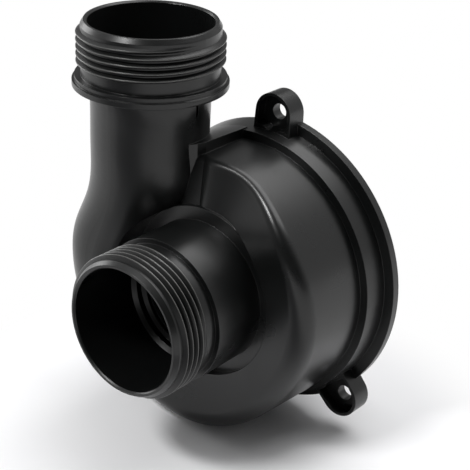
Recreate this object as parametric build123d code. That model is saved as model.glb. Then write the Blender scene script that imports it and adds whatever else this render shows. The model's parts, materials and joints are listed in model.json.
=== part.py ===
"""Centrifugal pond and aquarium pump: a moulded volute head with threaded ports and a canned motor.

Frame, in millimetres: the origin is the centre of the inlet mouth.  +Y runs into the pump along the
shaft, +Z is up along the outlet, and +X is to the right as seen from the inlet.
"""
from build123d import *
import math
import os

# ---- port dimensions (both ports carry the same 1 1/2 inch parallel pipe thread) ----
PORT_ROOT_RADIUS = 22.42      # root of the thread; the ridges themselves are not modelled here
PORT_TIP_RADIUS = 21.4        # the port narrows to this at its mouth
PORT_TIP_LENGTH = 1.6
PORT_BORE_RADIUS = 20.2
PORT_BORE_CHAMFER = 0.5

# ---- inlet neck ----
NECK_RADIUS = 24.07
NECK_START = 18.0             # shoulder where the threaded port ends
THROAT_START = 27.0           # step from the port bore down to the throat
THROAT_RADIUS = 18.8
THROAT_LIP_START = 29.8
THROAT_LIP_LENGTH = 1.2
THROAT_LIP_RADIUS = 17.4
POCKET_RADIUS = 28.5          # round pocket in the volute that the neck stands in
POCKET_FLOOR = 37.8

# ---- volute ----
WALL = 3.0                    # moulded wall of the volute
TONGUE_ANGLE = 97.0           # where the spiral starts, measured from +X towards +Z
SCROLL_SWEEP = 277.0          # from the tongue, clockwise seen from the inlet, to the outlet side
SCROLL_START_RADIUS = 44.3
SCROLL_END_RADIUS = 53.5
SCROLL_GROWTH_START = 131.0   # sweep angles between which the outer radius grows
SCROLL_GROWTH_END = 200.0
SCROLL_LEAD = 21.0            # degrees that the outside starts before the tongue, inside the outlet pipe
SCROLL_INNER_RADIUS = 21.0
SCROLL_INNER_SHIFT = 6.0      # how far the inner side moves out where the front swells
EDGE_CORNER = 2.2             # corner between the front and the outer side beside the tongue
SCROLL_CORNER = 6.5           # the same corner further on
SCROLL_END_CORNER = 14.5      # and where the spiral becomes the outlet
SCROLL_END_INNER_CORNER = 10.0
CORNER_START = 15.0           # sweep angles between which the corner opens up
CORNER_END = 110.0
TONGUE_FRONT = 43.0           # outer edge of the volute's front beside the tongue
TONGUE_FRONT_INNER = 37.7     # inner edge of it there, as the front is a cone
SCROLL_FRONT = 35.0           # front face once the short ramp is over
SCROLL_END_FRONT = 22.0       # front face where the spiral becomes the outlet
RAMP_START = 8.0              # sweep angles between which the short ramp rises
RAMP_END = 68.0
SWELL_START = 163.0           # sweep angles between which the front swells towards the outlet
SWELL_END = 300.0
WALL_DRAFT = 0.03             # radial draft of the outer wall per mm of depth
STATIONS = 14                 # sections along the spiral
VOID_INNER_RADIUS = 24.0

# ---- outlet ----
OUTLET_X = -29.0
OUTLET_Y = 44.1
OUTLET_PIPE_RADIUS = 19.2
OUTLET_MOUTH = 82.8
COLLAR_BOTTOM = 61.7
COLLAR_STEP = 63.5
COLLAR_TOP = 65.0
COLLAR_RADIUS = 25.2
COLLAR_STEP_RADIUS = 24.4
THROAT_HEIGHTS = (8.0, 16.0, 24.0, 32.0)   # the spiral's end rounds off into the outlet pipe here
PIPE_HEIGHTS = (41.0, 51.0, 62.5)          # round sections above that
PIPE_BORE_STEP = 0.3          # the round bore is this much narrower than the end of the throat
PIPE_FLAT = 0.5               # half width of the flats that the pipe keeps between its rounded corners
BULGE = 5.6                   # how far the spiral's end swells out beyond the pipe on the left
BULGE_BOTTOM = 7.0            # heights between which the bulge runs out
BULGE_TOP = 30.5

# ---- rear rim, flange and lugs ----
RIM_FRONT = 63.5
RIM_FRONT_RADIUS = 47.0
RIM_REAR_RADIUS = 47.9
REAR_FACE = 74.9
FLANGE_THICKNESS = 2.85
FLANGE_RADIUS = 51.2
FLANGE_FROM_ANGLE = 92.0      # the flange step runs clockwise from the top lug to the left lug
FLANGE_SWEEP = 252.0
SHELF_RADIUS = 47.5           # shelf behind the outlet that bridges the tongue
SHELF_PLAN = ((-5.8, 66.0), (-7.0, 46.2), (-8.2, 43.4), (-10.2, 41.4), (-29.0, 41.4), (-41.9, 44.1), (-41.9, 66.0))
SHELF_BOTTOM = 18.0           # buried in the spiral
LUG_ANGLES = (87.2, -47.3, 200.0)
LUG_CENTRE_RADIUS = 53.2
LUG_END_RADIUS = 7.0
LUG_ROOT_HALF_WIDTH = 7.4
LUG_THICKNESS = 7.3
LUG_POCKET_DEPTH = 3.6        # open pocket in the front of each lug, for the head of its screw
LUG_WALL = 1.1                # wall left around that pocket
LUG_HOLE_RADIUS = 2.65

# ---- rear opening of the casing ----
SEAT_FRONT = 59.5             # ring that the back plate is pressed against
SEAT_DEPTH = 3.0
RECESS_RADIUS = 46.6
REAR_BORE_RADIUS = RECESS_RADIUS - 5.2
SEAT_INNER_RADIUS = REAR_BORE_RADIUS - 2.0
RECESS_FLOOR = 71.0
GASKET_THICKNESS = 0.9

# ---- clearances ----
FIT = 0.1                     # between pieces that are assembled and stay still
RUNNING = 0.05                # radial clearance of the bearings on the shaft
SPIN_GAP = 0.5                # around the rotor inside its can
END_PLAY = 0.3                # along the shaft at each thrust washer
SHROUD_GAP = 1.1              # between the impeller's shroud and the casing

# ---- impeller ----
SHAFT_RADIUS = 2.5
IMPELLER_RADIUS = 34.5
EYE_RADIUS = 15.6
EYE_WALL = 1.6
EYE_FRONT = 39.9
IMPELLER_HUB_RADIUS = 6.8
BACK_DISC_THICKNESS = 2.2
BACK_DISC_REAR = 59.6
SHROUD_THICKNESS = 1.6
SHROUD_INNER_Y = 44.0         # underside of the shroud at the eye
SHROUD_OUTER_Y = 48.4         # underside of the shroud at the rim
VANE_COUNT = 6
VANE_THICKNESS = 2.0
VANE_INNER_RADIUS = 13.0
VANE_WRAP = 62.0              # degrees that each vane leans back over its length

# ---- shaft, bearings and washers ----
FRONT_HOLDER_REAR = 38.6
FRONT_HOLDER_LENGTH = 7.0
FRONT_HOLDER_RING = 1.6
FRONT_HOLDER_HUB_RADIUS = 5.6
FRONT_ARM_WIDTH = 2.8
FRONT_ARM_ANGLES = (37.0, 157.0, 277.0)
SHAFT_SEAT_WALL = 1.6
WASHER_THICKNESS = 1.2
WASHER_RADIUS = 5.4
BEARING_RADIUS = 4.4
BEARING_LENGTH = 8.0

# ---- magnet rotor and its can ----
ROTOR_RADIUS = 12.2
ROTOR_REAR = 84.0
MAGNET_OUTER_RADIUS = 11.3
MAGNET_INNER_RADIUS = 6.6
MAGNET_FRONT = 64.5
MAGNET_LENGTH = 17.5
CAN_WALL = 1.1
CAN_END_THICKNESS = 1.4
BACK_PLATE_FRONT = SEAT_FRONT + SEAT_DEPTH
BACK_PLATE_THICKNESS = 2.5
COLLAR_WIDTH = 5.2            # radial width of the back plate's rim
O_RING_RADIUS = 1.3
O_RING_GROOVE_WIDTH = 2.9

# ---- motor ----
STATOR_FRONT = 69.8
STATOR_LENGTH = 13.0
STATOR_RADIUS = 28.0
STATOR_YOKE = 3.8
TOOTH_COUNT = 6
TOOTH_WIDTH = 6.4
SHOE_THICKNESS = 2.0
SHOE_GAP = 2.6
STATOR_GAP = 0.3
INSULATOR_THICKNESS = 1.0
COIL_THICKNESS = 3.2
COIL_INNER_RADIUS = 17.2
COIL_OUTER_RADIUS = 22.8
BOARD_THICKNESS = 1.6
BOARD_FRONT = 87.6
SENSOR_SIZE = 3.0
HOUSING_RADIUS = 30.6
HOUSING_WALL = 2.3
HOUSING_REAR = 94.6
HOUSING_FLOOR = 2.4
HOUSING_EDGE = 3.0
HOUSING_FLANGE_THICKNESS = 3.0
HOUSING_RIB_COUNT = 12
HOUSING_RIB_THICKNESS = 1.8
HOUSING_RIB_REACH = 9.0
HOUSING_RIB_RISE = 9.5

# ---- screws ----
SCREW_COUNT = 6
SCREW_CIRCLE_RADIUS = RECESS_RADIUS - 2.7
SCREW_FIRST_ANGLE = 20.0
SCREW_SHANK_RADIUS = 1.4
SCREW_HEAD_RADIUS = 2.1
SCREW_HEAD_HEIGHT = 1.5
SCREW_HEAD_RECESS = 1.0
SCREW_LENGTH = 9.0
SCREW_SLOT_WIDTH = 0.8
SCREW_SLOT_DEPTH = 0.7

# ---- cable gland ----
GLAND_ANGLE = 217.0
GLAND_Y = 83.5
GLAND_BORE_RADIUS = 3.4
GLAND_THREAD_RADIUS = 5.0
GLAND_HEX_RADIUS = 6.6
GLAND_HEX_LENGTH = 3.2
GLAND_SOCKET_LENGTH = 5.0
GLAND_NUT_LENGTH = 5.6
GLAND_PAD_RADIUS = 7.2
GLAND_PAD_HEIGHT = 1.4
GLAND_SEAL_WALL = 1.4

os.makedirs("parts", exist_ok=True)


def save(node, shape):
    """Write one named piece."""
    export_step(shape, f"parts/{node}.step")
    print(f"{node}: {len(shape.solids())} solid(s), {shape.volume:.0f} mm3")


# ---------------------------------------------------------------- helpers

def rod(radius, start, end):
    """A cylinder on the pump axis, from one depth to another."""
    plane = Plane(origin=(0, start, 0), x_dir=(1, 0, 0), z_dir=(0, 1, 0))
    return extrude(plane * Circle(radius), end - start)


def tube(outer, inner, start, end):
    """A ring on the pump axis."""
    return rod(outer, start, end) - rod(inner, start - 1, end + 1)


def turned(points):
    """Turn a closed outline of (radius, depth) points about the pump axis."""
    outline = Polyline(*points, close=True)
    return revolve(make_face(outline), Axis.Y)


def upright(radius, bottom, top):
    """A cylinder on the outlet axis."""
    return extrude(Pos(OUTLET_X, OUTLET_Y, bottom) * Circle(radius), top - bottom)


def around(shape, angle):
    """Turn a piece about the pump axis, positive from +X towards +Z."""
    return shape.rotate(Axis.Y, -angle)


def sector(radius, from_angle, sweep, start, end):
    """A pie slice about the pump axis, running clockwise from one angle."""
    steps = max(2, math.ceil(sweep / 60))
    reach = radius * 1.5
    rays = [math.radians(from_angle - sweep * i / steps) for i in range(steps + 1)]
    edge_points = [(reach * math.cos(ray), reach * math.sin(ray)) for ray in rays]
    plane = Plane(origin=(0, end, 0), x_dir=(1, 0, 0), z_dir=(0, -1, 0))
    slice_face = make_face(Polyline((0, 0), *edge_points, close=True))
    return extrude(plane * slice_face, end - start) & rod(radius, start, end)


def eased(value, start, end):
    """Rise smoothly from 0 at start to 1 at end."""
    t = min(1.0, max(0.0, (value - start) / (end - start)))
    return t * t * (3 - 2 * t)


def between(low, high, share):
    """The value that lies a share of the way from low to high."""
    return low + (high - low) * share


# ---------------------------------------------------------------- volute casing

def rounded_section(angle, height, inner, outer, fronts, rear, corners, draft=0.0):
    """A face across the spiral: a rectangle of radius by depth with four rounded corners.

    The fronts are the depths of the inner and the outer edge of the front.  The corners are the radii
    of (inner rear, inner front, outer front, outer rear).  The outer side leans inwards towards the
    front by the draft, in mm per mm of depth.
    """
    inner_rear, inner_front, outer_front, outer_rear = corners
    diagonal = math.sqrt(0.5)
    ray = math.radians(angle)
    plane = Plane(
        origin=(0, 0, height),
        x_dir=(math.cos(ray), 0, math.sin(ray)),
        z_dir=(-math.sin(ray), 0, math.cos(ray)),
    )

    def corner(x, y, toward_x, toward_y, radius):
        centre = (x + toward_x * radius, y + toward_y * radius)
        middle = (centre[0] - toward_x * radius * diagonal, centre[1] - toward_y * radius * diagonal)
        return centre, middle

    front_in, front_out = fronts
    drawn_in = outer - draft * (rear - front_out)
    c1, m1 = corner(inner, rear, 1, -1, inner_rear)
    c2, m2 = corner(inner, front_in, 1, 1, inner_front)
    c3, m3 = corner(drawn_in, front_out, -1, 1, outer_front)
    c4, m4 = corner(outer, rear, -1, -1, outer_rear)

    edges = [
        ThreePointArc((c1[0], rear), m1, (inner, c1[1])),
        Line((inner, c1[1]), (inner, c2[1])),
        ThreePointArc((inner, c2[1]), m2, (c2[0], front_in)),
        Line((c2[0], front_in), (c3[0], front_out)),
        ThreePointArc((c3[0], front_out), m3, (drawn_in, c3[1])),
        Line((drawn_in, c3[1]), (outer, c4[1])),
        ThreePointArc((outer, c4[1]), m4, (c4[0], rear)),
        Line((c4[0], rear), (c1[0], rear)),
    ]
    return plane * make_face(edges)


def spiral_size(sweep):
    """Inner shift, outer radius, the front's two depths and its two corner radii at a sweep angle."""
    growth = eased(sweep, SCROLL_GROWTH_START, SCROLL_GROWTH_END)
    ramp = eased(sweep, RAMP_START, RAMP_END)
    swell = eased(sweep, SWELL_START, SWELL_END)
    outer = between(SCROLL_START_RADIUS, SCROLL_END_RADIUS, growth)
    fronts = [
        between(between(tongue_depth, SCROLL_FRONT, ramp), SCROLL_END_FRONT, swell)
        for tongue_depth in (TONGUE_FRONT_INNER, TONGUE_FRONT)
    ]
    opened = between(EDGE_CORNER, SCROLL_CORNER, eased(sweep, CORNER_START, CORNER_END))
    outer_corner = between(opened, SCROLL_END_CORNER, swell)
    inner_corner = between(1.0, SCROLL_END_INNER_CORNER, swell)
    return SCROLL_INNER_SHIFT * swell, outer, fronts, outer_corner, inner_corner


def spiral_section(angle, sweep, offset, inner_radius, rear):
    """The section of the spiral that belongs to a sweep, placed at an angle."""
    shift, outer, fronts, outer_corner, inner_corner = spiral_size(sweep)
    reach = (inner_radius - SCROLL_INNER_RADIUS) / (outer - SCROLL_INNER_RADIUS)
    fronts = (between(fronts[0], fronts[1], reach) + offset, fronts[1] + offset)
    corners = (0.6, max(0.6, inner_corner - offset), max(1.0, outer_corner - offset), 0.6)
    return rounded_section(
        angle, 0, inner_radius + shift, outer - offset, fronts, rear, corners, WALL_DRAFT)


def throat_section(height, offset, inner_radius, rear):
    """A level section where the spiral's end turns into the round outlet pipe."""
    shift, outer, fronts, outer_corner, inner_corner = spiral_size(SCROLL_SWEEP)
    pipe = OUTLET_PIPE_RADIUS - offset
    round_corner = pipe - PIPE_FLAT
    share = eased(height, 0, THROAT_HEIGHTS[-1])
    front = between(fronts[0] + offset, OUTLET_Y - pipe, share)
    corners = (
        between(0.6, round_corner, share),
        between(inner_corner - offset, round_corner, share),
        between(outer_corner - offset, round_corner, share),
        between(0.6, round_corner, share),
    )
    left = -OUTLET_X + pipe + BULGE * (1 - eased(height, BULGE_BOTTOM, BULGE_TOP))
    return rounded_section(
        180, height, between(inner_radius + shift, -OUTLET_X - pipe, share), left,
        (front, front), between(rear, OUTLET_Y + pipe, share), corners, WALL_DRAFT * (1 - share))


def spiral_body(offset, inner_radius, rear, heights):
    """The spiral and the outlet pipe up to the last height, as one loft that lies inside the outside by the offset."""
    sections = []
    for i in range(STATIONS):
        sweep = SCROLL_SWEEP * i / (STATIONS - 1)
        sections.append(spiral_section(TONGUE_ANGLE - sweep, sweep, offset, inner_radius, rear))
    for height in heights:
        sections.append(throat_section(height, offset, inner_radius, rear))
    return loft(sections)


def volute_outside():
    """Everything that shows of the casing before it is hollowed."""
    body = turned([
        (0, POCKET_FLOOR),
        (POCKET_RADIUS, POCKET_FLOOR),
        (POCKET_RADIUS, RIM_FRONT),
        (RIM_FRONT_RADIUS, RIM_FRONT),
        (RIM_REAR_RADIUS, REAR_FACE),
        (0, REAR_FACE),
    ])
    flange = sector(FLANGE_RADIUS, FLANGE_FROM_ANGLE, FLANGE_SWEEP, REAR_FACE - FLANGE_THICKNESS, REAR_FACE)
    shelf_plan = Pos(0, 0, SHELF_BOTTOM) * make_face(Polyline(*SHELF_PLAN, close=True))
    shelf = extrude(shelf_plan, SHELF_RADIUS - SHELF_BOTTOM) & rod(SHELF_RADIUS, 0, RIM_FRONT + 2)
    rear = RIM_FRONT + 1.0
    lead_section = spiral_section(TONGUE_ANGLE + SCROLL_LEAD, 0, 0.0, SCROLL_INNER_RADIUS, rear)
    lead = revolve(lead_section, Axis.Y, SCROLL_LEAD)
    spiral = spiral_body(0.0, SCROLL_INNER_RADIUS, rear, THROAT_HEIGHTS + PIPE_HEIGHTS)
    return body + flange + shelf + lead + spiral


def port_outside(length):
    """Plain body of a threaded port, with its mouth at the origin and its length along +Y."""
    return turned([
        (0, 0),
        (PORT_TIP_RADIUS, 0),
        (PORT_ROOT_RADIUS, PORT_TIP_LENGTH),
        (PORT_ROOT_RADIUS, length),
        (0, length),
    ])


def port_bore(length):
    """The hole of a port, with its mouth at the origin and its length along +Y."""
    return turned([
        (0, -1),
        (PORT_BORE_RADIUS + PORT_BORE_CHAMFER + 1, -1),
        (PORT_BORE_RADIUS, PORT_BORE_CHAMFER),
        (PORT_BORE_RADIUS, length),
        (0, length),
    ])


def at_outlet(port):
    """Stand a port on the outlet axis with its mouth upwards."""
    return Pos(OUTLET_X, OUTLET_Y, OUTLET_MOUTH) * (Rot(-90, 0, 0) * port)


def outlet_outside():
    """Two-step collar of the outlet and the plain body of its threaded port."""
    collar = upright(COLLAR_RADIUS, COLLAR_BOTTOM, COLLAR_STEP)
    step = upright(COLLAR_STEP_RADIUS, COLLAR_STEP, COLLAR_TOP)
    return collar + step + at_outlet(port_outside(OUTLET_MOUTH - COLLAR_STEP))


def lug_outline(inset, root):
    """Outline of a lug on the right-hand side: straight sides from the rim and a round end."""
    arm = make_face(Polyline(
        (root, inset - LUG_ROOT_HALF_WIDTH),
        (LUG_CENTRE_RADIUS, inset - LUG_END_RADIUS),
        (LUG_CENTRE_RADIUS, LUG_END_RADIUS - inset),
        (root, LUG_ROOT_HALF_WIDTH - inset),
        close=True,
    ))
    return arm + Pos(LUG_CENTRE_RADIUS, 0) * Circle(LUG_END_RADIUS - inset)


def lug():
    """One mounting lug, before it is turned to its angle and drilled."""
    rear = Plane(origin=(0, REAR_FACE, 0), x_dir=(1, 0, 0), z_dir=(0, -1, 0))
    solid = extrude(rear * lug_outline(0, RIM_FRONT_RADIUS - 3), LUG_THICKNESS)
    floor = rear.offset(LUG_THICKNESS - LUG_POCKET_DEPTH)
    pocket = extrude(floor * lug_outline(LUG_WALL, RIM_REAR_RADIUS + 0.4), LUG_POCKET_DEPTH + 1)
    return solid - pocket


def lug_hole():
    """The hole of a lug, which also nicks the flange beside it."""
    return Pos(LUG_CENTRE_RADIUS, 0, 0) * rod(LUG_HOLE_RADIUS, REAR_FACE - LUG_THICKNESS, REAR_FACE + 1)


def casing_hollow():
    """The water passage and the rear opening."""
    spiral = spiral_body(WALL, VOID_INNER_RADIUS, SEAT_FRONT, THROAT_HEIGHTS + PIPE_HEIGHTS[:1])
    spiral -= rod(POCKET_RADIUS + WALL, 0, POCKET_FLOOR + WALL)
    bore = turned([
        (0, THROAT_START - 2),
        (PORT_BORE_RADIUS, THROAT_START - 2),
        (PORT_BORE_RADIUS, THROAT_START - 1.2),
        (THROAT_RADIUS, THROAT_START),
        (THROAT_RADIUS, THROAT_LIP_START - 0.8),
        (THROAT_LIP_RADIUS, THROAT_LIP_START),
        (THROAT_LIP_RADIUS, THROAT_LIP_START + THROAT_LIP_LENGTH),
        (THROAT_RADIUS, THROAT_LIP_START + THROAT_LIP_LENGTH),
        (THROAT_RADIUS, POCKET_FLOOR + WALL),
        (IMPELLER_RADIUS, SHROUD_OUTER_Y - SHROUD_THICKNESS - SHROUD_GAP),
        (SEAT_INNER_RADIUS, SHROUD_OUTER_Y - SHROUD_THICKNESS - SHROUD_GAP),
        (SEAT_INNER_RADIUS, SEAT_FRONT + SEAT_DEPTH),
        (REAR_BORE_RADIUS, SEAT_FRONT + SEAT_DEPTH),
        (REAR_BORE_RADIUS, RECESS_FLOOR),
        (RECESS_RADIUS, RECESS_FLOOR),
        (RECESS_RADIUS, REAR_FACE + 1),
        (0, REAR_FACE + 1),
    ])
    pipe = upright(OUTLET_PIPE_RADIUS - WALL - PIPE_BORE_STEP, PIPE_HEIGHTS[0] - 3, COLLAR_TOP + 1)
    inlet = port_bore(THROAT_START - 1.5)
    outlet = at_outlet(port_bore(OUTLET_MOUTH - COLLAR_TOP + 1))
    return spiral + bore + pipe + inlet + outlet


def screw_places():
    """Angles of the housing screws."""
    return [SCREW_FIRST_ANGLE + 360 / SCREW_COUNT * i for i in range(SCREW_COUNT)]


def screw_hole(radius, start, end):
    """A hole on the screw circle, before it is turned to its angle."""
    return Pos(SCREW_CIRCLE_RADIUS, 0, 0) * rod(radius, start, end)


def volute_casing():
    casing = volute_outside() + outlet_outside()
    casing -= rod(POCKET_RADIUS, 0, POCKET_FLOOR)
    casing += rod(NECK_RADIUS, NECK_START, POCKET_FLOOR + 1) + port_outside(NECK_START + 1)
    for angle in LUG_ANGLES:
        casing += around(lug(), angle)
        casing -= around(lug_hole(), angle)
    casing -= casing_hollow()
    pilot = screw_hole(SCREW_SHANK_RADIUS + RUNNING, RECESS_FLOOR - SCREW_LENGTH + 2, RECESS_FLOOR + 1)
    for angle in screw_places():
        casing -= around(pilot, angle)
    return casing


# ---------------------------------------------------------------- impeller and rotor

def shroud_underside(radius):
    """Depth of the shroud's inner face at a radius."""
    share = (radius - EYE_RADIUS) / (IMPELLER_RADIUS - EYE_RADIUS)
    return between(SHROUD_INNER_Y, SHROUD_OUTER_Y, share)


def impeller():
    """Back disc, hub and backward-leaning vanes."""
    disc_front = BACK_DISC_REAR - BACK_DISC_THICKNESS
    disc = rod(IMPELLER_RADIUS, disc_front, BACK_DISC_REAR)
    hub_front = FRONT_HOLDER_REAR + WASHER_THICKNESS + END_PLAY
    hub = turned([
        (0, hub_front),
        (IMPELLER_HUB_RADIUS - 1.5, hub_front),
        (IMPELLER_HUB_RADIUS, hub_front + 2.5),
        (IMPELLER_HUB_RADIUS + 1.2, disc_front - 3),
        (IMPELLER_HUB_RADIUS + 4, disc_front),
        (0, disc_front),
    ])
    plane = Plane(origin=(0, disc_front, 0), x_dir=(1, 0, 0), z_dir=(0, -1, 0))
    points = []
    for share in (0.0, 0.5, 1.0):
        radius = between(VANE_INNER_RADIUS, IMPELLER_RADIUS - 0.4, share)
        ray = math.radians(VANE_WRAP * share ** 0.85)
        points.append((radius * math.cos(ray), radius * math.sin(ray)))
    vane = extrude(plane * trace(ThreePointArc(*points), VANE_THICKNESS), disc_front - SHROUD_INNER_Y + 2)
    passage = turned([
        (0, disc_front),
        (IMPELLER_RADIUS - 0.2, disc_front),
        (IMPELLER_RADIUS - 0.2, shroud_underside(IMPELLER_RADIUS - 0.2)),
        (EYE_RADIUS, SHROUD_INNER_Y),
        (0, SHROUD_INNER_Y),
    ])
    wheel = disc + hub
    for i in range(VANE_COUNT):
        wheel += around(vane & passage, 360 / VANE_COUNT * i)
    return wheel - rod(BEARING_RADIUS, hub_front - 1, BACK_DISC_REAR + 1)


def impeller_shroud():
    """Front shroud with its eye ring, welded to the vane tops."""
    outer_under = shroud_underside(IMPELLER_RADIUS)
    return turned([
        (EYE_RADIUS, EYE_FRONT),
        (EYE_RADIUS + EYE_WALL, EYE_FRONT),
        (EYE_RADIUS + EYE_WALL, SHROUD_INNER_Y - SHROUD_THICKNESS),
        (IMPELLER_RADIUS, outer_under - SHROUD_THICKNESS),
        (IMPELLER_RADIUS, outer_under),
        (EYE_RADIUS, SHROUD_INNER_Y),
    ])


def rotor_sleeve():
    """Moulded skin that seals the magnet in and carries the rear bearing."""
    magnet_end = MAGNET_FRONT + MAGNET_LENGTH
    skin = rod(ROTOR_RADIUS, BACK_DISC_REAR, ROTOR_REAR)
    pocket = tube(MAGNET_OUTER_RADIUS + FIT / 2, MAGNET_INNER_RADIUS - FIT / 2, MAGNET_FRONT - FIT, magnet_end + FIT)
    return skin - pocket - rod(BEARING_RADIUS, BACK_DISC_REAR - 1, ROTOR_REAR + 1)


def rotor_magnet():
    return tube(MAGNET_OUTER_RADIUS, MAGNET_INNER_RADIUS, MAGNET_FRONT, MAGNET_FRONT + MAGNET_LENGTH)


def bearing(start):
    """A sintered sleeve that turns on the fixed shaft."""
    return tube(BEARING_RADIUS, SHAFT_RADIUS + RUNNING, start, start + BEARING_LENGTH)


# ---------------------------------------------------------------- shaft and its supports

SHAFT_FRONT = FRONT_HOLDER_REAR - FRONT_HOLDER_LENGTH + 1.5
REAR_WASHER_FRONT = ROTOR_REAR + END_PLAY
REAR_SEAT_FRONT = REAR_WASHER_FRONT + WASHER_THICKNESS
REAR_SEAT_LENGTH = 4.0
CAN_FLOOR = REAR_SEAT_FRONT + REAR_SEAT_LENGTH + FIT


def shaft():
    body = rod(SHAFT_RADIUS, SHAFT_FRONT, CAN_FLOOR - FIT)
    return chamfer(body.edges(), 0.4)


def front_shaft_holder():
    """Three-armed spider pressed into the throat behind its lip."""
    front = THROAT_LIP_START + THROAT_LIP_LENGTH + FIT
    ring_outer = THROAT_RADIUS - FIT
    ring_inner = ring_outer - FRONT_HOLDER_RING
    ring = tube(ring_outer, ring_inner, front, FRONT_HOLDER_REAR)
    hub_front = FRONT_HOLDER_REAR - FRONT_HOLDER_LENGTH
    hub = turned([
        (0, hub_front - 1.5),
        (FRONT_HOLDER_HUB_RADIUS - 2, hub_front - 1),
        (FRONT_HOLDER_HUB_RADIUS, hub_front + 1.5),
        (FRONT_HOLDER_HUB_RADIUS, FRONT_HOLDER_REAR),
        (0, FRONT_HOLDER_REAR),
    ])
    spider = ring + hub
    reach = ring_inner + FRONT_HOLDER_RING / 2
    plane = Plane(origin=(0, FRONT_HOLDER_REAR, 0), x_dir=(1, 0, 0), z_dir=(0, -1, 0))
    arm = extrude(plane * (Pos(reach / 2, 0) * Rectangle(reach, FRONT_ARM_WIDTH)), FRONT_HOLDER_LENGTH - 2)
    for angle in FRONT_ARM_ANGLES:
        spider += around(arm, angle)
    return spider - rod(SHAFT_RADIUS + SHAFT_SEAT_WALL + FIT, SHAFT_FRONT - FIT, FRONT_HOLDER_REAR + 1)


def shaft_seat(start, end):
    """Rubber sleeve that holds one end of the shaft."""
    return tube(SHAFT_RADIUS + SHAFT_SEAT_WALL, SHAFT_RADIUS + RUNNING, start, end)


def thrust_washer(start):
    return tube(WASHER_RADIUS, SHAFT_RADIUS + RUNNING, start, start + WASHER_THICKNESS)


# ---------------------------------------------------------------- back plate, seals and housing

CAN_INNER_RADIUS = ROTOR_RADIUS + SPIN_GAP
CAN_OUTER_RADIUS = CAN_INNER_RADIUS + CAN_WALL
BACK_PLATE_RADIUS = REAR_BORE_RADIUS - FIT
GASKET_REAR = RECESS_FLOOR + GASKET_THICKNESS
GROOVE_DEPTH = 2 * O_RING_RADIUS
GROOVE_START = BACK_PLATE_FRONT + BACK_PLATE_THICKNESS + 1.0


def back_plate():
    """Back wall of the pump chamber, moulded in one with the can that the rotor turns in."""
    plate_rear = BACK_PLATE_FRONT + BACK_PLATE_THICKNESS
    collar_inner = BACK_PLATE_RADIUS - COLLAR_WIDTH
    plate = turned([
        (CAN_INNER_RADIUS, BACK_PLATE_FRONT),
        (BACK_PLATE_RADIUS, BACK_PLATE_FRONT),
        (BACK_PLATE_RADIUS, GASKET_REAR - FIT),
        (collar_inner, GASKET_REAR - FIT),
        (collar_inner, plate_rear),
        (CAN_OUTER_RADIUS, plate_rear),
        (CAN_OUTER_RADIUS, CAN_FLOOR + CAN_END_THICKNESS),
        (0, CAN_FLOOR + CAN_END_THICKNESS),
        (0, CAN_FLOOR),
        (CAN_INNER_RADIUS, CAN_FLOOR),
    ])
    seat_outer = SHAFT_RADIUS + SHAFT_SEAT_WALL + FIT
    socket = tube(seat_outer + 1.4, seat_outer, REAR_SEAT_FRONT, CAN_FLOOR + CAN_END_THICKNESS / 2)
    groove = tube(BACK_PLATE_RADIUS + 1, BACK_PLATE_RADIUS - GROOVE_DEPTH, GROOVE_START,
                  GROOVE_START + O_RING_GROOVE_WIDTH)
    return plate + socket - groove


def casing_o_ring():
    centre_radius = REAR_BORE_RADIUS - FIT / 2 - O_RING_RADIUS
    centre_depth = GROOVE_START + O_RING_GROOVE_WIDTH / 2
    return revolve(Pos(centre_radius, centre_depth) * Circle(O_RING_RADIUS), Axis.Y)


def housing_gasket():
    inner = REAR_BORE_RADIUS + FIT
    outer = RECESS_RADIUS - FIT
    gasket = tube(outer, inner, RECESS_FLOOR, GASKET_REAR)
    hole = screw_hole(SCREW_SHANK_RADIUS + 2 * FIT, RECESS_FLOOR - 1, GASKET_REAR + 1)
    for angle in screw_places():
        gasket -= around(hole, angle)
    return gasket


def housing_rib():
    """A triangular rib between the barrel and the flange, before it is turned to its angle."""
    root = HOUSING_RADIUS - HOUSING_WALL / 2
    flange_rear = GASKET_REAR + HOUSING_FLANGE_THICKNESS
    outline = make_face(Polyline(
        (root, flange_rear - 0.5),
        (HOUSING_RADIUS + HOUSING_RIB_REACH, flange_rear - 0.5),
        (HOUSING_RADIUS + HOUSING_RIB_REACH, flange_rear + 0.8),
        (root, flange_rear + HOUSING_RIB_RISE),
        close=True,
    ))
    return extrude(Plane.XY * outline, HOUSING_RIB_THICKNESS / 2, both=True)


def gland_place(distance):
    """The plane across the gland's axis at a distance from the pump axis, facing outwards."""
    ray = math.radians(GLAND_ANGLE)
    outward = (math.cos(ray), 0, math.sin(ray))
    origin = (distance * outward[0], GLAND_Y, distance * outward[2])
    return Plane(origin=origin, x_dir=(0, 1, 0), z_dir=outward)


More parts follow.
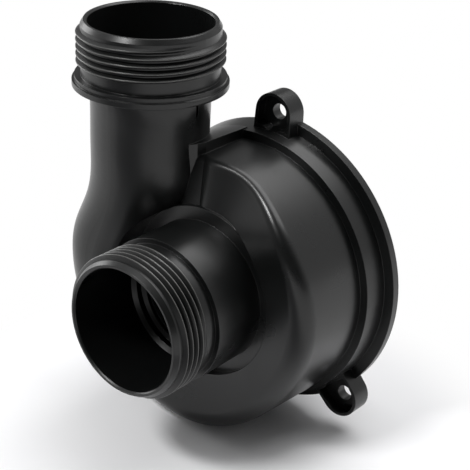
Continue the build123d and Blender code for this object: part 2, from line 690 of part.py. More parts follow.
def motor_housing():
    """Rear cup with its bolting flange and ribs."""
    flange_radius = RECESS_RADIUS - 2 * FIT
    flange_rear = GASKET_REAR + HOUSING_FLANGE_THICKNESS
    inside = HOUSING_RADIUS - HOUSING_WALL
    cup = turned([
        (inside, GASKET_REAR),
        (flange_radius, GASKET_REAR),
        (flange_radius, flange_rear),
        (HOUSING_RADIUS, flange_rear),
        (HOUSING_RADIUS, HOUSING_REAR - HOUSING_EDGE),
        (HOUSING_RADIUS - HOUSING_EDGE, HOUSING_REAR),
        (0, HOUSING_REAR),
        (0, HOUSING_REAR - HOUSING_FLOOR),
        (inside, HOUSING_REAR - HOUSING_FLOOR),
    ])
    rib_step = 360 / HOUSING_RIB_COUNT
    for i in range(HOUSING_RIB_COUNT):
        angle = SCREW_FIRST_ANGLE + rib_step * (i + 0.5)
        if abs((angle - GLAND_ANGLE + 180) % 360 - 180) > rib_step / 2:
            cup += around(housing_rib(), angle)
    sunk = HOUSING_WALL * 0.8
    cup += extrude(gland_place(HOUSING_RADIUS - sunk) * Circle(GLAND_PAD_RADIUS), sunk + GLAND_PAD_HEIGHT)
    cup -= extrude(gland_place(inside - 3) * Circle(GLAND_THREAD_RADIUS + FIT), 12)
    through = screw_hole(SCREW_SHANK_RADIUS + 2 * FIT, GASKET_REAR - 1, flange_rear + 1)
    head = screw_hole(SCREW_HEAD_RADIUS + FIT, flange_rear - SCREW_HEAD_RECESS, flange_rear + 1)
    for angle in screw_places():
        cup -= around(through + head, angle)
    return cup


def housing_screws():
    """Six pan-head screws, as one group."""
    head_start = GASKET_REAR + HOUSING_FLANGE_THICKNESS - SCREW_HEAD_RECESS
    tip = head_start - SCREW_LENGTH
    outline = make_face(Polyline(
        (0, tip),
        (SCREW_SHANK_RADIUS * 0.4, tip),
        (SCREW_SHANK_RADIUS, tip + 1.5),
        (SCREW_SHANK_RADIUS, head_start),
        (SCREW_HEAD_RADIUS, head_start),
        (SCREW_HEAD_RADIUS, head_start + SCREW_HEAD_HEIGHT - 0.4),
        (SCREW_HEAD_RADIUS - 0.4, head_start + SCREW_HEAD_HEIGHT),
        (0, head_start + SCREW_HEAD_HEIGHT),
        close=True,
    ))
    screw = revolve(outline, Axis.Y)
    slot_depth = head_start + SCREW_HEAD_HEIGHT - SCREW_SLOT_DEPTH / 2
    length = SCREW_HEAD_RADIUS * 1.4
    screw -= Pos(0, slot_depth, 0) * Box(length, SCREW_SLOT_DEPTH + 0.02, SCREW_SLOT_WIDTH)
    screw -= Pos(0, slot_depth, 0) * Box(SCREW_SLOT_WIDTH, SCREW_SLOT_DEPTH + 0.02, length)
    placed = Pos(SCREW_CIRCLE_RADIUS, 0, 0) * screw
    return Compound(children=[around(placed, angle) for angle in screw_places()])


# ---------------------------------------------------------------- stator

STATOR_REAR = STATOR_FRONT + STATOR_LENGTH
STATOR_BORE = CAN_OUTER_RADIUS + STATOR_GAP


def tooth_places():
    return [360 / TOOTH_COUNT * i for i in range(TOOTH_COUNT)]


def bar(inner, outer, width, start, end):
    """A block that points along +X from the pump axis, between two radii and two depths."""
    return Pos((inner + outer) / 2, (start + end) / 2, 0) * Box(outer - inner, end - start, width)


def stator_core():
    """Laminated ring with six teeth and pole shoes."""
    core = tube(STATOR_RADIUS, STATOR_RADIUS - STATOR_YOKE, STATOR_FRONT, STATOR_REAR)
    shoes = tube(STATOR_BORE + SHOE_THICKNESS, STATOR_BORE, STATOR_FRONT, STATOR_REAR)
    gap = bar(STATOR_BORE - 2, STATOR_BORE + SHOE_THICKNESS + 2, SHOE_GAP, STATOR_FRONT - 1, STATOR_REAR + 1)
    tooth = bar(STATOR_BORE + SHOE_THICKNESS / 2, STATOR_RADIUS - STATOR_YOKE / 2, TOOTH_WIDTH,
                STATOR_FRONT, STATOR_REAR)
    for angle in tooth_places():
        shoes -= around(gap, angle + 180 / TOOTH_COUNT)
    core += shoes
    for angle in tooth_places():
        core += around(tooth, angle)
    return core


def insulator(start, end):
    """Thin star that keeps the windings off one face of the core."""
    inner = STATOR_BORE + SHOE_THICKNESS
    ring = tube(STATOR_RADIUS, STATOR_RADIUS - STATOR_YOKE + 0.4, start, end)
    for angle in tooth_places():
        ring += around(bar(inner, STATOR_RADIUS - 1, TOOTH_WIDTH, start, end), angle)
    return ring


def stator_coils():
    """Six windings, one round each tooth, as one group."""
    front = STATOR_FRONT - INSULATOR_THICKNESS - FIT
    rear = STATOR_REAR + INSULATOR_THICKNESS + FIT
    plane = Plane(origin=(COIL_INNER_RADIUS, (front + rear) / 2, 0), x_dir=(0, 1, 0), z_dir=(1, 0, 0))
    length = rear - front
    width = TOOTH_WIDTH + 2 * FIT
    outside = RectangleRounded(length + 2 * COIL_THICKNESS, width + 2 * COIL_THICKNESS, COIL_THICKNESS * 0.9)
    winding = extrude(plane * (outside - Rectangle(length, width)), COIL_OUTER_RADIUS - COIL_INNER_RADIUS)
    return Compound(children=[around(winding, angle) for angle in tooth_places()])


def sensor_board():
    """Ring-shaped circuit board behind the windings, with three sensors that watch the magnet."""
    inner = CAN_OUTER_RADIUS + 2 * FIT
    board = tube(HOUSING_RADIUS - HOUSING_WALL - 2 * FIT, inner, BOARD_FRONT, BOARD_FRONT + BOARD_THICKNESS)
    sensor = bar(inner + 0.4, inner + 0.4 + SENSOR_SIZE, SENSOR_SIZE * 1.3,
                 BOARD_FRONT + BOARD_THICKNESS - 0.2, BOARD_FRONT + BOARD_THICKNESS + 1.2)
    for i in range(3):
        board += around(sensor, 30 + 120 * i)
    return board


# ---------------------------------------------------------------- cable gland

GLAND_START = HOUSING_RADIUS + GLAND_PAD_HEIGHT
GLAND_TIP = GLAND_START + GLAND_HEX_LENGTH + GLAND_SOCKET_LENGTH


def gland_body():
    """Threaded insert with a hexagon and an outer socket for the seal."""
    spigot = extrude(gland_place(HOUSING_RADIUS - HOUSING_WALL) * Circle(GLAND_THREAD_RADIUS),
                     HOUSING_WALL + GLAND_PAD_HEIGHT + 1)
    hexagon = extrude(gland_place(GLAND_START + FIT) * RegularPolygon(GLAND_HEX_RADIUS, 6), GLAND_HEX_LENGTH)
    socket = extrude(gland_place(GLAND_START + GLAND_HEX_LENGTH) * Circle(GLAND_THREAD_RADIUS),
                     GLAND_SOCKET_LENGTH)
    bore = extrude(gland_place(HOUSING_RADIUS - HOUSING_WALL - 1) * Circle(GLAND_BORE_RADIUS), 30)
    seal_room = extrude(gland_place(GLAND_START + GLAND_HEX_LENGTH) * Circle(GLAND_BORE_RADIUS + 0.6), 20)
    return spigot + hexagon + socket - bore - seal_room


def gland_seal():
    """Rubber ring that the nut squeezes."""
    start = GLAND_START + GLAND_HEX_LENGTH + FIT
    ring = Circle(GLAND_BORE_RADIUS + 0.6 - FIT) - Circle(GLAND_BORE_RADIUS + 0.5 - GLAND_SEAL_WALL)
    return extrude(gland_place(start) * ring, GLAND_SOCKET_LENGTH - 2 * FIT)


def gland_nut():
    """Cap nut over the socket, open for a cable."""
    start = GLAND_START + GLAND_HEX_LENGTH + 2 * FIT
    body = extrude(gland_place(start) * RegularPolygon(GLAND_HEX_RADIUS, 6), GLAND_NUT_LENGTH)
    room = extrude(gland_place(start - 1) * Circle(GLAND_THREAD_RADIUS + FIT), GLAND_TIP + FIT - start + 1)
    mouth = extrude(gland_place(start - 1) * Circle(GLAND_BORE_RADIUS), GLAND_NUT_LENGTH + 2)
    return body - room - mouth


# ---------------------------------------------------------------- write every piece

save("volute_casing", volute_casing())
save("impeller", impeller())
save("impeller_shroud", impeller_shroud())
save("rotor_sleeve", rotor_sleeve())
save("rotor_magnet", rotor_magnet())
save("front_bearing", bearing(FRONT_HOLDER_REAR + WASHER_THICKNESS + 2 * END_PLAY))
save("rear_bearing", bearing(ROTOR_REAR - BEARING_LENGTH - END_PLAY))
save("shaft", shaft())
save("front_shaft_holder", front_shaft_holder())
save("front_shaft_seat", shaft_seat(SHAFT_FRONT, FRONT_HOLDER_REAR - FIT))
save("rear_shaft_seat", shaft_seat(REAR_SEAT_FRONT, CAN_FLOOR - FIT))
save("front_thrust_washer", thrust_washer(FRONT_HOLDER_REAR))
save("rear_thrust_washer", thrust_washer(REAR_WASHER_FRONT))
save("back_plate", back_plate())
save("casing_o_ring", casing_o_ring())
save("housing_gasket", housing_gasket())
save("motor_housing", motor_housing())
save("housing_screws", housing_screws())
save("stator_core", stator_core())
save("front_insulator", insulator(STATOR_FRONT - INSULATOR_THICKNESS, STATOR_FRONT))
save("rear_insulator", insulator(STATOR_REAR, STATOR_REAR + INSULATOR_THICKNESS))
save("stator_coils", stator_coils())
save("sensor_board", sensor_board())
save("gland_body", gland_body())
save("gland_seal", gland_seal())
save("gland_nut", gland_nut())
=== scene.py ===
# %% [markdown]
# # The head of a centrifugal pond pump
#
# This lesson dresses a finished engineering model.  Every real piece of the pump, from the moulded
# volute to the ceramic shaft, comes from the CAD model and already has its true size and place.
# What is left for Blender is what a mould, a lathe and daily use put on such pieces: the screw
# threads of the two ports, the grain of the plastic, its softened corners and its rubbed edges.
#
# The CAD model is loaded first.  Its box is kept and written out in the last cell.

# %% Load the pump
import bmesh
import bpy
import json
import math
from mathutils import Matrix, Vector


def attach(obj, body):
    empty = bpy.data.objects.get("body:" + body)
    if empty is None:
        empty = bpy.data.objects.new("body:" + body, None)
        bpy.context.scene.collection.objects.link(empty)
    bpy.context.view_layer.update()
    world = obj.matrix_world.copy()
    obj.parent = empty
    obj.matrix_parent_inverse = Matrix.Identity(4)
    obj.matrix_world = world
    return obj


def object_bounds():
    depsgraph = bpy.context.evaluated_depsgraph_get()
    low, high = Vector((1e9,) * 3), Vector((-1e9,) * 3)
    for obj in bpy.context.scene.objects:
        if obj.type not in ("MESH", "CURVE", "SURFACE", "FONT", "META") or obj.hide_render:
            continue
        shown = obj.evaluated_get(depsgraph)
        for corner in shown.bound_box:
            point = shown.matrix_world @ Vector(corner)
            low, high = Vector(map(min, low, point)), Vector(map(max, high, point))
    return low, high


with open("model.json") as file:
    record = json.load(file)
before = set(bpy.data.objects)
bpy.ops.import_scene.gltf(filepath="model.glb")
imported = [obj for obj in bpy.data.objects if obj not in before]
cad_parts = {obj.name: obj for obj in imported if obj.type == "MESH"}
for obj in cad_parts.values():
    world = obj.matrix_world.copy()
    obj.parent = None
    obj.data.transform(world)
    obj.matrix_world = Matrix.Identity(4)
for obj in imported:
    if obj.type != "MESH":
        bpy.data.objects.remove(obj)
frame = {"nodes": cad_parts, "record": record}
cad_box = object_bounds()


def mm(value):
    """Millimetres to metres."""
    return value / 1000


# %% [markdown]
# ## Colours and nodes
#
# A colour is written as the hex value that a paint card or a web page would give.  Shaders work with
# linear light, so one function turns the value over.  A second one adds a shader node together with
# its settings and its links, which keeps a material readable as a list of steps.  Two short ones make
# masks: values from 0 to 1 that say where a look applies.

# %% Helpers for materials
def linear(hex_colour):
    """An sRGB hex colour as linear RGBA."""
    channels = [int(hex_colour[i:i + 2], 16) / 255 for i in (1, 3, 5)]
    return [c / 12.92 if c <= 0.04045 else ((c + 0.055) / 1.055) ** 2.4 for c in channels] + [1.0]


def add_node(tree, kind, inputs=None, **settings):
    """Add a shader node; an input is given as a value or as the socket that it is linked to."""
    node = tree.nodes.new(kind)
    for name, value in settings.items():
        setattr(node, name, value)
    for name, value in (inputs or {}).items():
        if isinstance(value, bpy.types.NodeSocket):
            tree.links.new(value, node.inputs[name])
        else:
            node.inputs[name].default_value = value
    return node


def new_material(name):
    """An empty node material and its tree."""
    material = bpy.data.materials.new(name)
    material.use_nodes = True
    material.node_tree.nodes.clear()
    return material, material.node_tree


def smooth_step(tree, value, low, high):
    """A mask that rises from 0 to 1 between two lengths in mm, or falls where the first is larger."""
    step = add_node(tree, "ShaderNodeMapRange", {
        "Value": value, "From Min": mm(low), "From Max": mm(high)}, interpolation_type="SMOOTHSTEP")
    return step.outputs["Result"]


def multiply(tree, first, second):
    """The product of two masks."""
    return add_node(tree, "ShaderNodeMath", {0: first, 1: second}, operation="MULTIPLY").outputs["Value"]


print("linear mid grey:", [round(c, 3) for c in linear("#808080")])


# %% [markdown]
# ## Injection-moulded plastic
#
# Most of what shows is black ABS, pressed hot into a steel mould.  The mould's spark-eroded skin
# leaves a very fine grain, the flow of the melt leaves broad, faint changes of gloss, and the sharp
# outer edges get rubbed a little lighter.  The grain could be real geometry, but it is finer than a
# tenth of a millimetre, so a bump on two noises does it.  The edges come from a Bevel node: where its
# rounded normal turns away from the true one, there is an edge.
#
# A steel mould is polished by hand, and that rounds the long corner around the volute's front more
# than any other edge.  The same Bevel node can show it, because its radius may vary: a small mask
# built from the position is 1 on that corner and 0 elsewhere, and opens the radius there.

# %% Where the volute's polished corner is
CORNER_FRONT = (34, 37)        # depths in mm over which the mask fades in
CORNER_BACK = (48, 44)         # and out again
CORNER_SIDE = (0.77, 0.0, 0.64)        # the corner lies to the right of the inlet and above it
CORNER_REACH = (24, 32)        # how far out on that side the mask fades in, in mm


def corner_mask(tree, position):
    """1 along the outer front corner of the volute, right and above the inlet."""
    depth = add_node(tree, "ShaderNodeSeparateXYZ", {"Vector": position}).outputs["Y"]
    aside = add_node(tree, "ShaderNodeVectorMath", {
        0: position, 1: CORNER_SIDE}, operation="DOT_PRODUCT").outputs["Value"]
    behind_front = smooth_step(tree, depth, *CORNER_FRONT)
    before_back = smooth_step(tree, depth, *CORNER_BACK)
    band = multiply(tree, behind_front, before_back)
    return multiply(tree, band, smooth_step(tree, aside, *CORNER_REACH))


print("polished corner from Y", CORNER_FRONT[0], "to", CORNER_BACK[0], "mm")

# %% Moulded plastic
EDGE_RADIUS = 0.25             # of an ordinary moulded edge, in mm
POLISHED_RADIUS = 0.8          # of the polished corner
MOULDED_IOR = 1.53


def moulded_plastic(name, colour, wear_and_highlight, roughness, grain_mm, grain_height_mm, edge_mm=EDGE_RADIUS, highlight_attribute=""):
    """Thermoplastic with a fine mould grain, flow marks and rubbed edges.

    The last argument may name a mesh attribute; where it is 1, the paler colour is drawn as a painted
    highlight.
    """
    material, tree = new_material(name)
    place = add_node(tree, "ShaderNodeTexCoord")
    # flow marks are some 25 mm long; the noise is scaled in metres
    flow = add_node(tree, "ShaderNodeTexNoise", {
        "Vector": place.outputs["Object"], "Scale": 1 / mm(25), "Detail": 3.0, "Roughness": 0.55})
    grain = add_node(tree, "ShaderNodeTexNoise", {
        "Vector": place.outputs["Object"], "Scale": 1 / mm(grain_mm), "Detail": 2.0, "Roughness": 0.6})
    dull = add_node(tree, "ShaderNodeMapRange", {
        "Value": flow.outputs["Fac"], "From Min": 0.3, "From Max": 0.7,
        "To Min": roughness - 0.04, "To Max": roughness + 0.05})
    bump = add_node(tree, "ShaderNodeBump", {
        "Height": grain.outputs["Fac"], "Strength": 0.35, "Distance": mm(grain_height_mm)})
    radius = add_node(tree, "ShaderNodeMapRange", {
        "Value": corner_mask(tree, place.outputs["Object"]),
        "To Min": mm(edge_mm), "To Max": mm(POLISHED_RADIUS)})
    rounded = add_node(tree, "ShaderNodeBevel", {
        "Radius": radius.outputs["Result"], "Normal": bump.outputs["Normal"]}, samples=8)
    soft_edge = add_node(tree, "ShaderNodeBevel", {"Radius": mm(edge_mm)}, samples=6)
    true_normal = add_node(tree, "ShaderNodeNewGeometry")
    facing = add_node(tree, "ShaderNodeVectorMath", {
        0: soft_edge.outputs["Normal"], 1: true_normal.outputs["Normal"]}, operation="DOT_PRODUCT")
    edge = add_node(tree, "ShaderNodeMapRange", {
        "Value": facing.outputs["Value"], "From Min": 0.99, "From Max": 0.80,
        "To Min": 0.0, "To Max": 0.55})
    patchy = add_node(tree, "ShaderNodeMapRange", {
        "Value": flow.outputs["Fac"], "From Min": 0.42, "From Max": 0.62, "To Min": 0.35, "To Max": 1.0})
    wear_and_highlight_mask = add_node(tree, "ShaderNodeMath", {
        0: edge.outputs["Result"], 1: patchy.outputs["Result"]}, operation="MULTIPLY")
    # a painted highlight: where the named attribute is 1, the paler colour is drawn as well
    if highlight_attribute:
        painted_highlight = add_node(tree, "ShaderNodeAttribute", attribute_name=highlight_attribute)
        wear_and_highlight_mask = add_node(tree, "ShaderNodeMath", {
            0: wear_and_highlight_mask.outputs["Value"], 1: painted_highlight.outputs["Fac"]}, operation="MAXIMUM")
    tint = add_node(tree, "ShaderNodeMix", {
        0: wear_and_highlight_mask.outputs["Value"], 6: linear(colour), 7: linear(wear_and_highlight)}, data_type="RGBA")
    shader = add_node(tree, "ShaderNodeBsdfPrincipled", {
        "Base Color": tint.outputs[2], "Roughness": dull.outputs["Result"],
        "IOR": MOULDED_IOR, "Specular IOR Level": 0.48, "Normal": rounded.outputs["Normal"]})
    add_node(tree, "ShaderNodeOutputMaterial", {"Surface": shader.outputs["BSDF"]})
    return material


black_abs = moulded_plastic("black_abs_moulded_satin", "#0e0f0f", "#2c2c2b", 0.30, 0.5, 0.02)
print("made", black_abs.name)

# %% [markdown]
# ## The other finishes
#
# Behind the black shell sit pieces that need their own look: sintered ferrite, stacked steel sheet,
# enamelled copper wire, ground ceramic, sealing rubber and the green board.  Each gets the pattern
# that its making leaves: rings for a turned or ground face, fine lines for stacked sheet, wire rows for
# a winding, and a soft speckle for sintered or filled stuff.

# %% Metals, ceramic, rubber and board
SPECK_HEIGHT = 0.02            # how far the specks stand out, in mm
COMMON_IOR = 1.5


def speckled(name, colour, second, roughness, speck_mm, metallic=0.0):
    """A solid colour with specks of a second one at a real speck size, and the same specks as bump."""
    material, tree = new_material(name)
    place = add_node(tree, "ShaderNodeTexCoord")
    specks = add_node(tree, "ShaderNodeTexNoise", {
        "Vector": place.outputs["Object"], "Scale": 1 / mm(speck_mm), "Detail": 3.0})
    broad = add_node(tree, "ShaderNodeTexNoise", {
        "Vector": place.outputs["Object"], "Scale": 1 / mm(speck_mm * 15), "Detail": 2.0})
    share = add_node(tree, "ShaderNodeMapRange", {
        "Value": specks.outputs["Fac"], "From Min": 0.45, "From Max": 0.65})
    tint = add_node(tree, "ShaderNodeMix", {
        0: share.outputs["Result"], 6: linear(colour), 7: linear(second)}, data_type="RGBA")
    dull = add_node(tree, "ShaderNodeMapRange", {
        "Value": broad.outputs["Fac"], "From Min": 0.3, "From Max": 0.7,
        "To Min": roughness - 0.06, "To Max": roughness + 0.06})
    bump = add_node(tree, "ShaderNodeBump", {
        "Height": specks.outputs["Fac"], "Strength": 0.3, "Distance": mm(SPECK_HEIGHT)})
    shader = add_node(tree, "ShaderNodeBsdfPrincipled", {
        "Base Color": tint.outputs[2], "Roughness": dull.outputs["Result"], "Metallic": metallic,
        "IOR": COMMON_IOR, "Normal": bump.outputs["Normal"]})
    add_node(tree, "ShaderNodeOutputMaterial", {"Surface": shader.outputs["BSDF"]})
    return material


def ringed(name, colour, groove, roughness, pitch_mm, metallic, direction, ior=COMMON_IOR):
    """Fine parallel lines at a real spacing: sheets along Y, or rings around the pump's axis."""
    material, tree = new_material(name)
    place = add_node(tree, "ShaderNodeTexCoord")
    # one band of this texture is 1 / (scale * 20 / (2 pi)) long, so the pitch gives the scale
    settings = {"wave_type": "BANDS", "bands_direction": "Y"} if direction == "sheets" else {
        "wave_type": "RINGS", "rings_direction": "Y"}
    lines = add_node(tree, "ShaderNodeTexWave", {
        "Vector": place.outputs["Object"], "Scale": 2 * math.pi / (20 * mm(pitch_mm)),
        "Distortion": 0.15, "Detail": 1.0}, **settings)
    tint = add_node(tree, "ShaderNodeMix", {
        0: lines.outputs["Fac"], 6: linear(groove), 7: linear(colour)}, data_type="RGBA")
    bump = add_node(tree, "ShaderNodeBump", {
        "Height": lines.outputs["Fac"], "Strength": 0.5, "Distance": mm(pitch_mm * 0.1)})
    shader = add_node(tree, "ShaderNodeBsdfPrincipled", {
        "Base Color": tint.outputs[2], "Roughness": roughness, "Metallic": metallic,
        "IOR": ior, "Normal": bump.outputs["Normal"]})
    add_node(tree, "ShaderNodeOutputMaterial", {"Surface": shader.outputs["BSDF"]})
    return material


finishes = {
    "casing_plastic": black_abs,
    "motor_plastic": moulded_plastic("black_glass_filled_nylon", "#202122", "#414243", 0.46, 0.7, 0.05),
    "impeller_plastic": moulded_plastic("dark_grey_polypropylene", "#3a3d40", "#5a5d60", 0.42, 0.6, 0.02),
    "can_plastic": moulded_plastic("black_pps_moulded", "#242425", "#3f4041", 0.40, 0.5, 0.02),
    "insulator_plastic": moulded_plastic("natural_nylon_moulded", "#d8d2bf", "#ece8da", 0.45, 0.5, 0.02),
    "ceramic": ringed("alumina_ground", "#efece2", "#dedacd", 0.28, 0.35, 0.0, "rings", 1.76),
    "bearing_carbon": speckled("carbon_graphite_machined", "#2b2c2f", "#45464a", 0.42, 0.25),
    "ferrite": speckled("ferrite_sintered", "#3c3d40", "#515256", 0.55, 0.3),
    "steel_laminations": ringed("silicon_steel_stacked", "#a9aaad", "#6d6e72", 0.42, 0.5, 1.0, "sheets"),
    "copper": ringed("copper_wire_enamelled", "#b8622f", "#6b2f14", 0.30, 0.45, 0.85, "rings"),
    "board": speckled("solder_mask_green", "#0f5a2c", "#15703a", 0.30, 0.6),
    "seal_rubber": speckled("nitrile_rubber_moulded", "#191919", "#262626", 0.62, 0.4),
    "screw_steel": speckled("stainless_cold_headed", "#b9babc", "#a3a4a7", 0.32, 0.3, 1.0),
}
print("finishes:", len(finishes))

# %% [markdown]
# ## Giving every piece its finish
#
# The record of the model names a finish for each piece, so the choice is made there and not here.
# The meshes are only given a material: their shape belongs to the CAD model.

# %% Dress the CAD pieces
slot_of = {piece["node"]: piece["material_slot"] for piece in frame["record"]["subparts"]}
for name, node in frame["nodes"].items():
    node.data.materials.clear()
    node.data.materials.append(finishes[slot_of[name]])
print({name: slot_of[name] for name in sorted(slot_of)})

# %% [markdown]
# ## The two pipe threads
#
# Both ports end in the parallel pipe thread that hose tails screw onto: 11 turns to the inch on an
# outer diameter of 47.8 mm, right-handed.  A ridge like this could be a curve with a bevel, but a
# curve rolls its profile.  A spin of one small profile that also moves along the axis at each step
# is exactly what a thread-cutting tool does, so the mould's own insert was made that way too.
#
# The profile is only the part that stands out of the plain port: two flanks and a narrow crest.  Its
# offset along the axis is stored on the vertices before the spin.  Afterwards each vertex's turn can
# be told from its place, and the first and last parts of a turn sink into the port, as the real
# thread runs in and out.  A second value marks the line along the crest, and the thread's own material paints
# that line pale: a painted highlight along each crest.
#
# The outlet's place, and the radius that the ridges stand on, come from the model's record.

# %% Thread helper
mounts = {mount["name"]: mount for mount in frame["record"]["mounts"]}
THREAD_PITCH = 25.4 / 11
THREAD_CREST_RADIUS = 47.8 / 2
THREAD_ROOT_RADIUS = mounts["inlet_port"]["dims"]["r_mm"]
THREAD_TURNS = 4.85
FADE_TURNS = 0.3               # part of a turn over which the ridge runs in, and runs out again
FOOT_RADIUS = THREAD_ROOT_RADIUS - 0.12        # the ridge's foot is sunk into the port
CREST_HIGHLIGHT_HALF_WIDTH = 0.24       # of the painted highlight line along the crest
STEPS_PER_TURN = 96
# the thread's paler colour is worn edges and also a painted highlight along the crest line
thread_abs = moulded_plastic(
    "black_abs_moulded_thread", "#0b0c0c", "#646462", 0.34, 0.5, 0.02, edge_mm=0.1, highlight_attribute="crest")


def thread_ridge(name, first_crest, start_angle):
    """A helical ridge around Y with its mouth at the origin.

    first_crest is in mm from the mouth, and the start angle in degrees from +X to +Z.
    """
    # one flank as (radius, distance along the axis) in mm, from its foot to the crest
    flank = [
        (FOOT_RADIUS, 1.02), (THREAD_ROOT_RADIUS + 0.06, 0.94),
        (THREAD_CREST_RADIUS - 0.22, 0.27), (THREAD_CREST_RADIUS - 0.06, 0.16),
        (THREAD_CREST_RADIUS, 0.0),
    ]
    profile = [(radius, -along) for radius, along in flank] + flank[-2::-1]
    bm = bmesh.new()
    offset = bm.verts.layers.float.new("offset")
    crest = bm.verts.layers.float.new("crest")
    turned_start = Matrix.Rotation(math.radians(-start_angle), 3, "Y")
    points = []
    for radius, along in profile:
        point = bm.verts.new(turned_start @ Vector((mm(radius), mm(first_crest + along), 0)))
        point[offset] = mm(first_crest + along)
        # each point of the profile gets a share of the painted highlight, 1 at the crest
        point[crest] = max(0.0, 1 - abs(along) / CREST_HIGHLIGHT_HALF_WIDTH)
        points.append(point)
    edges = [bm.edges.new(pair) for pair in zip(points, points[1:])]
    steps = round(STEPS_PER_TURN * THREAD_TURNS)
    bmesh.ops.spin(
        bm, geom=points + edges, cent=(0, 0, 0), axis=(0, 1, 0), angle=math.tau * THREAD_TURNS, steps=steps,
        dvec=(0, mm(THREAD_PITCH) * THREAD_TURNS / steps, 0), use_merge=False)
    foot = mm(FOOT_RADIUS)
    for vertex in bm.verts:
        turn = (vertex.co.y - vertex[offset]) / mm(THREAD_PITCH)
        rise = min(1.0, max(0.0, min(turn, THREAD_TURNS - turn) / FADE_TURNS))
        rise = rise * rise * (3 - 2 * rise)
        radius = math.hypot(vertex.co.x, vertex.co.z)
        wanted = foot + (radius - foot) * rise
        # the painted highlight fades out with the ridge
        vertex[crest] *= rise
        vertex.co.x *= wanted / radius
        vertex.co.z *= wanted / radius
    bmesh.ops.recalc_face_normals(bm, faces=bm.faces)
    mesh = bpy.data.meshes.new(name)
    bm.to_mesh(mesh)
    bm.free()
    mesh.shade_smooth()
    ridge = bpy.data.objects.new(name, mesh)
    bpy.context.scene.collection.objects.link(ridge)
    mesh.materials.append(thread_abs)
    print(name, "faces:", len(mesh.polygons))
    return ridge


# %% Inlet thread
inlet_thread = thread_ridge("inlet_thread", first_crest=2.14, start_angle=-95)
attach(inlet_thread, "pump_body")

# %% [markdown]
# The outlet's thread is the same ridge, stood upright on the outlet pipe, whose mouth is the top of the
# pump.  The turn and the place go into the mesh, so that the object itself stays at the origin.

# %% Outlet thread
outlet_x, outlet_y = mounts["outlet_port"]["pos_m"][:2]
outlet_mouth = Matrix.Translation((outlet_x, outlet_y, cad_box[1][2]))
outlet_thread = thread_ridge("outlet_thread", first_crest=3.1, start_angle=10)
outlet_thread.data.transform(outlet_mouth @ Matrix.Rotation(math.radians(-90), 4, "X"))
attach(outlet_thread, "pump_body")

# %% [markdown]
# ## Floor, light and camera
#
# The pump stands on a sheet of pale paper in soft light.  Black satin plastic shows hardly any colour
# of its own: what is seen is the room mirrored in it.  So the room matters more than the lamps.
#
# The paper is bright where the pump's sides mirror it.  In front it is painted grey, a painted shade that
# keeps the faces that look that way nearly black.  Further off the camera sees a plain white backdrop.  That
# is an emission of strength 1 which only the camera, mirrors and glass see, so it lights nothing else.

# %% Floor
PUMP_FOOT = (mm(5), mm(45), cad_box[0][2])     # on the floor, below the middle of the volute
PAINTED_SHADE_SIDE = (0.624, -0.782, 0.0)              # the level direction towards the viewer
PAINTED_SHADE_START = (0, 70)          # how far out on that side the paper fades to the painted shade, in mm
PAINTED_SHADE_END = (150, 75)          # X over which it fades out again on the right, in mm
BACKDROP_START = (68, 104)     # distances from the foot over which the backdrop fades in, in mm
FLOOR_HALF_WIDTH = 3.0
FLOOR_GAP = mm(0.1)            # the floor lies this far below the pump

pale_paper, tree = new_material("pale_paper_floor")
position = add_node(tree, "ShaderNodeTexCoord").outputs["Object"]
fibre = add_node(tree, "ShaderNodeTexNoise", {"Vector": position, "Scale": 1 / mm(60), "Detail": 2.0})
paper_tint = add_node(tree, "ShaderNodeMix", {
    0: fibre.outputs["Fac"], 6: linear("#f4f4f6"), 7: linear("#f8f8f9")}, data_type="RGBA")

# in front of the pump, towards the viewer, the paper fades to grey: painted shade where the room in front
# gives no light to mirror
towards_viewer = add_node(tree, "ShaderNodeVectorMath", {
    0: position, 1: PAINTED_SHADE_SIDE}, operation="DOT_PRODUCT").outputs["Value"]
sideways = add_node(tree, "ShaderNodeSeparateXYZ", {"Vector": position}).outputs["X"]
painted_shade_start = smooth_step(tree, towards_viewer, *PAINTED_SHADE_START)
painted_shade = multiply(tree, painted_shade_start, smooth_step(tree, sideways, *PAINTED_SHADE_END))
floor_tint = add_node(tree, "ShaderNodeMix", {
    0: painted_shade, 6: paper_tint.outputs[2], 7: linear("#707072")}, data_type="RGBA")
paper = add_node(tree, "ShaderNodeBsdfPrincipled", {
    "Base Color": floor_tint.outputs[2], "Roughness": 0.85, "Specular IOR Level": 0.2})

# away from the pump the camera sees a white backdrop, and so do mirrors where the painted shade ends
rays = add_node(tree, "ShaderNodeLightPath")
off_painted_shade = add_node(tree, "ShaderNodeMath", {0: 1.0, 1: painted_shade}, operation="SUBTRACT").outputs["Value"]
mirrored = add_node(tree, "ShaderNodeMath", {
    0: rays.outputs["Is Glossy Ray"], 1: rays.outputs["Is Transmission Ray"]}, operation="ADD")
seen = add_node(tree, "ShaderNodeMath", {
    0: rays.outputs["Is Camera Ray"], 1: multiply(tree, mirrored.outputs["Value"], off_painted_shade)},
    operation="ADD", use_clamp=True)
distance = add_node(tree, "ShaderNodeVectorMath", {
    0: position, 1: PUMP_FOOT}, operation="DISTANCE").outputs["Value"]
backdrop = multiply(tree, smooth_step(tree, distance, *BACKDROP_START), seen.outputs["Value"])
white = add_node(tree, "ShaderNodeEmission", {"Color": linear("#ffffff"), "Strength": 1.0})
surface = add_node(tree, "ShaderNodeMixShader", {
    0: backdrop, 1: paper.outputs["BSDF"], 2: white.outputs["Emission"]})
add_node(tree, "ShaderNodeOutputMaterial", {"Surface": surface.outputs["Shader"]})

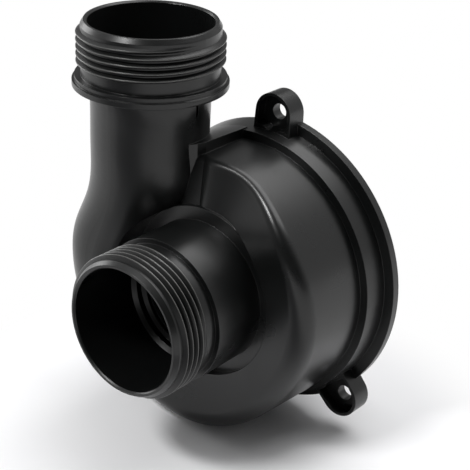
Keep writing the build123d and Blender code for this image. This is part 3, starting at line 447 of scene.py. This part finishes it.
bm = bmesh.new()
bmesh.ops.create_grid(bm, x_segments=4, y_segments=4, size=FLOOR_HALF_WIDTH)
bmesh.ops.translate(bm, verts=bm.verts, vec=(0, 0, cad_box[0][2] - FLOOR_GAP))
floor_mesh = bpy.data.meshes.new("floor")
bm.to_mesh(floor_mesh)
bm.free()
floor_mesh.materials.append(pale_paper)
floor = bpy.data.objects.new("floor", floor_mesh)
bpy.context.scene.collection.objects.link(floor)
print("floor at", round(cad_box[0][2] * 1000, 2), "mm")

# %% [markdown]
# The room above is grey, darker behind the viewer and at a doorway straight behind the pump.

# %% Room
DARK_SIDE = (0.62, -0.78, 0.0)         # behind the viewer
DOORWAY_SIDE = (-0.63, 0.78, 0.0)      # straight behind the pump

world = bpy.data.worlds.new("studio")
bpy.context.scene.world = world
world.use_nodes = True
world.node_tree.nodes.clear()
room = world.node_tree
direction = add_node(room, "ShaderNodeTexCoord")
dark_side = add_node(room, "ShaderNodeVectorMath", {
    0: direction.outputs["Generated"], 1: DARK_SIDE}, operation="DOT_PRODUCT")
level = add_node(room, "ShaderNodeMapRange", {
    "Value": dark_side.outputs["Value"], "From Min": -0.2, "From Max": 0.8, "To Min": 0.60, "To Max": 0.05},
    interpolation_type="SMOOTHSTEP")
doorway = add_node(room, "ShaderNodeVectorMath", {
    0: direction.outputs["Generated"], 1: DOORWAY_SIDE}, operation="DOT_PRODUCT")
shade = add_node(room, "ShaderNodeMapRange", {
    "Value": doorway.outputs["Value"], "From Min": 0.62, "From Max": 0.88, "To Min": 1.0, "To Max": 0.4},
    interpolation_type="SMOOTHSTEP")
strength = multiply(room, level.outputs["Result"], shade.outputs["Result"])
sky = add_node(room, "ShaderNodeBackground", {"Color": linear("#ffffff"), "Strength": strength})
add_node(room, "ShaderNodeOutputWorld", {"Surface": sky.outputs["Background"]})
print("room:", len(room.nodes), "nodes")

# %% [markdown]
# Three soft lamps: a wide one overhead for the floor and the tops of the round shapes, a small one in
# front that draws a clear line of light along the volute's corner and the crests of the threads, and a
# weak one that fills in the left.

# %% Lamps
LAMP_AIM = Vector((0.0, mm(40), mm(10)))       # the middle of the pump


def softbox(name, place, width, height, watts):
    """A rectangular soft lamp that looks at the pump; lengths in metres."""
    lamp_data = bpy.data.lights.new(name, "AREA")
    lamp_data.shape = "RECTANGLE"
    lamp_data.size = width
    lamp_data.size_y = height
    lamp_data.energy = watts
    lamp = bpy.data.objects.new(name, lamp_data)
    lamp.location = place
    lamp.rotation_euler = (LAMP_AIM - Vector(place)).to_track_quat("-Z", "Y").to_euler()
    bpy.context.scene.collection.objects.link(lamp)


softbox("overhead", (0.1, 0.45, 1.1), 1.2, 0.9, 10)
softbox("front_key", (-0.22, -0.70, 0.95), 0.30, 0.16, 8)
softbox("left_side", (-1.0, 0.0, 0.25), 0.5, 0.5, 3)

# %% [markdown]
# The camera stands to the right and above, and looks down at the inlet.  Its place and turn are
# given as an azimuth from the pump's axis, a height above the horizon and a small roll.

# %% Camera
CAMERA_PLACE = (mm(257.63), mm(-270.75), mm(210.80))
CAMERA_AZIMUTH = 38.44
CAMERA_ELEVATION = 25.40
CAMERA_ROLL = 2.23
LENS = 107.33                  # focal length in mm on a sensor 36 mm wide

camera_data = bpy.data.cameras.new("camera")
camera_data.sensor_width = 36.0
camera_data.lens = LENS
camera = bpy.data.objects.new("camera", camera_data)
bpy.context.scene.collection.objects.link(camera)
turn = Matrix.Rotation(math.radians(CAMERA_AZIMUTH), 4, "Z")
tip = Matrix.Rotation(math.radians(90 - CAMERA_ELEVATION), 4, "X")
roll = Matrix.Rotation(math.radians(CAMERA_ROLL), 4, "Z")
camera.matrix_world = Matrix.Translation(CAMERA_PLACE) @ turn @ tip @ roll
bpy.context.scene.camera = camera
bpy.context.scene.view_settings.view_transform = "Standard"
print("camera", round(Vector(CAMERA_PLACE).length, 3), "m from the inlet")

# %% [markdown]
#
# Dressing must not change the pump's size.  The box of the bare model is written out.

# %% Write the CAD box and finish
print("CAD box", [[round(v * 1000, 1) for v in corner] for corner in cad_box])
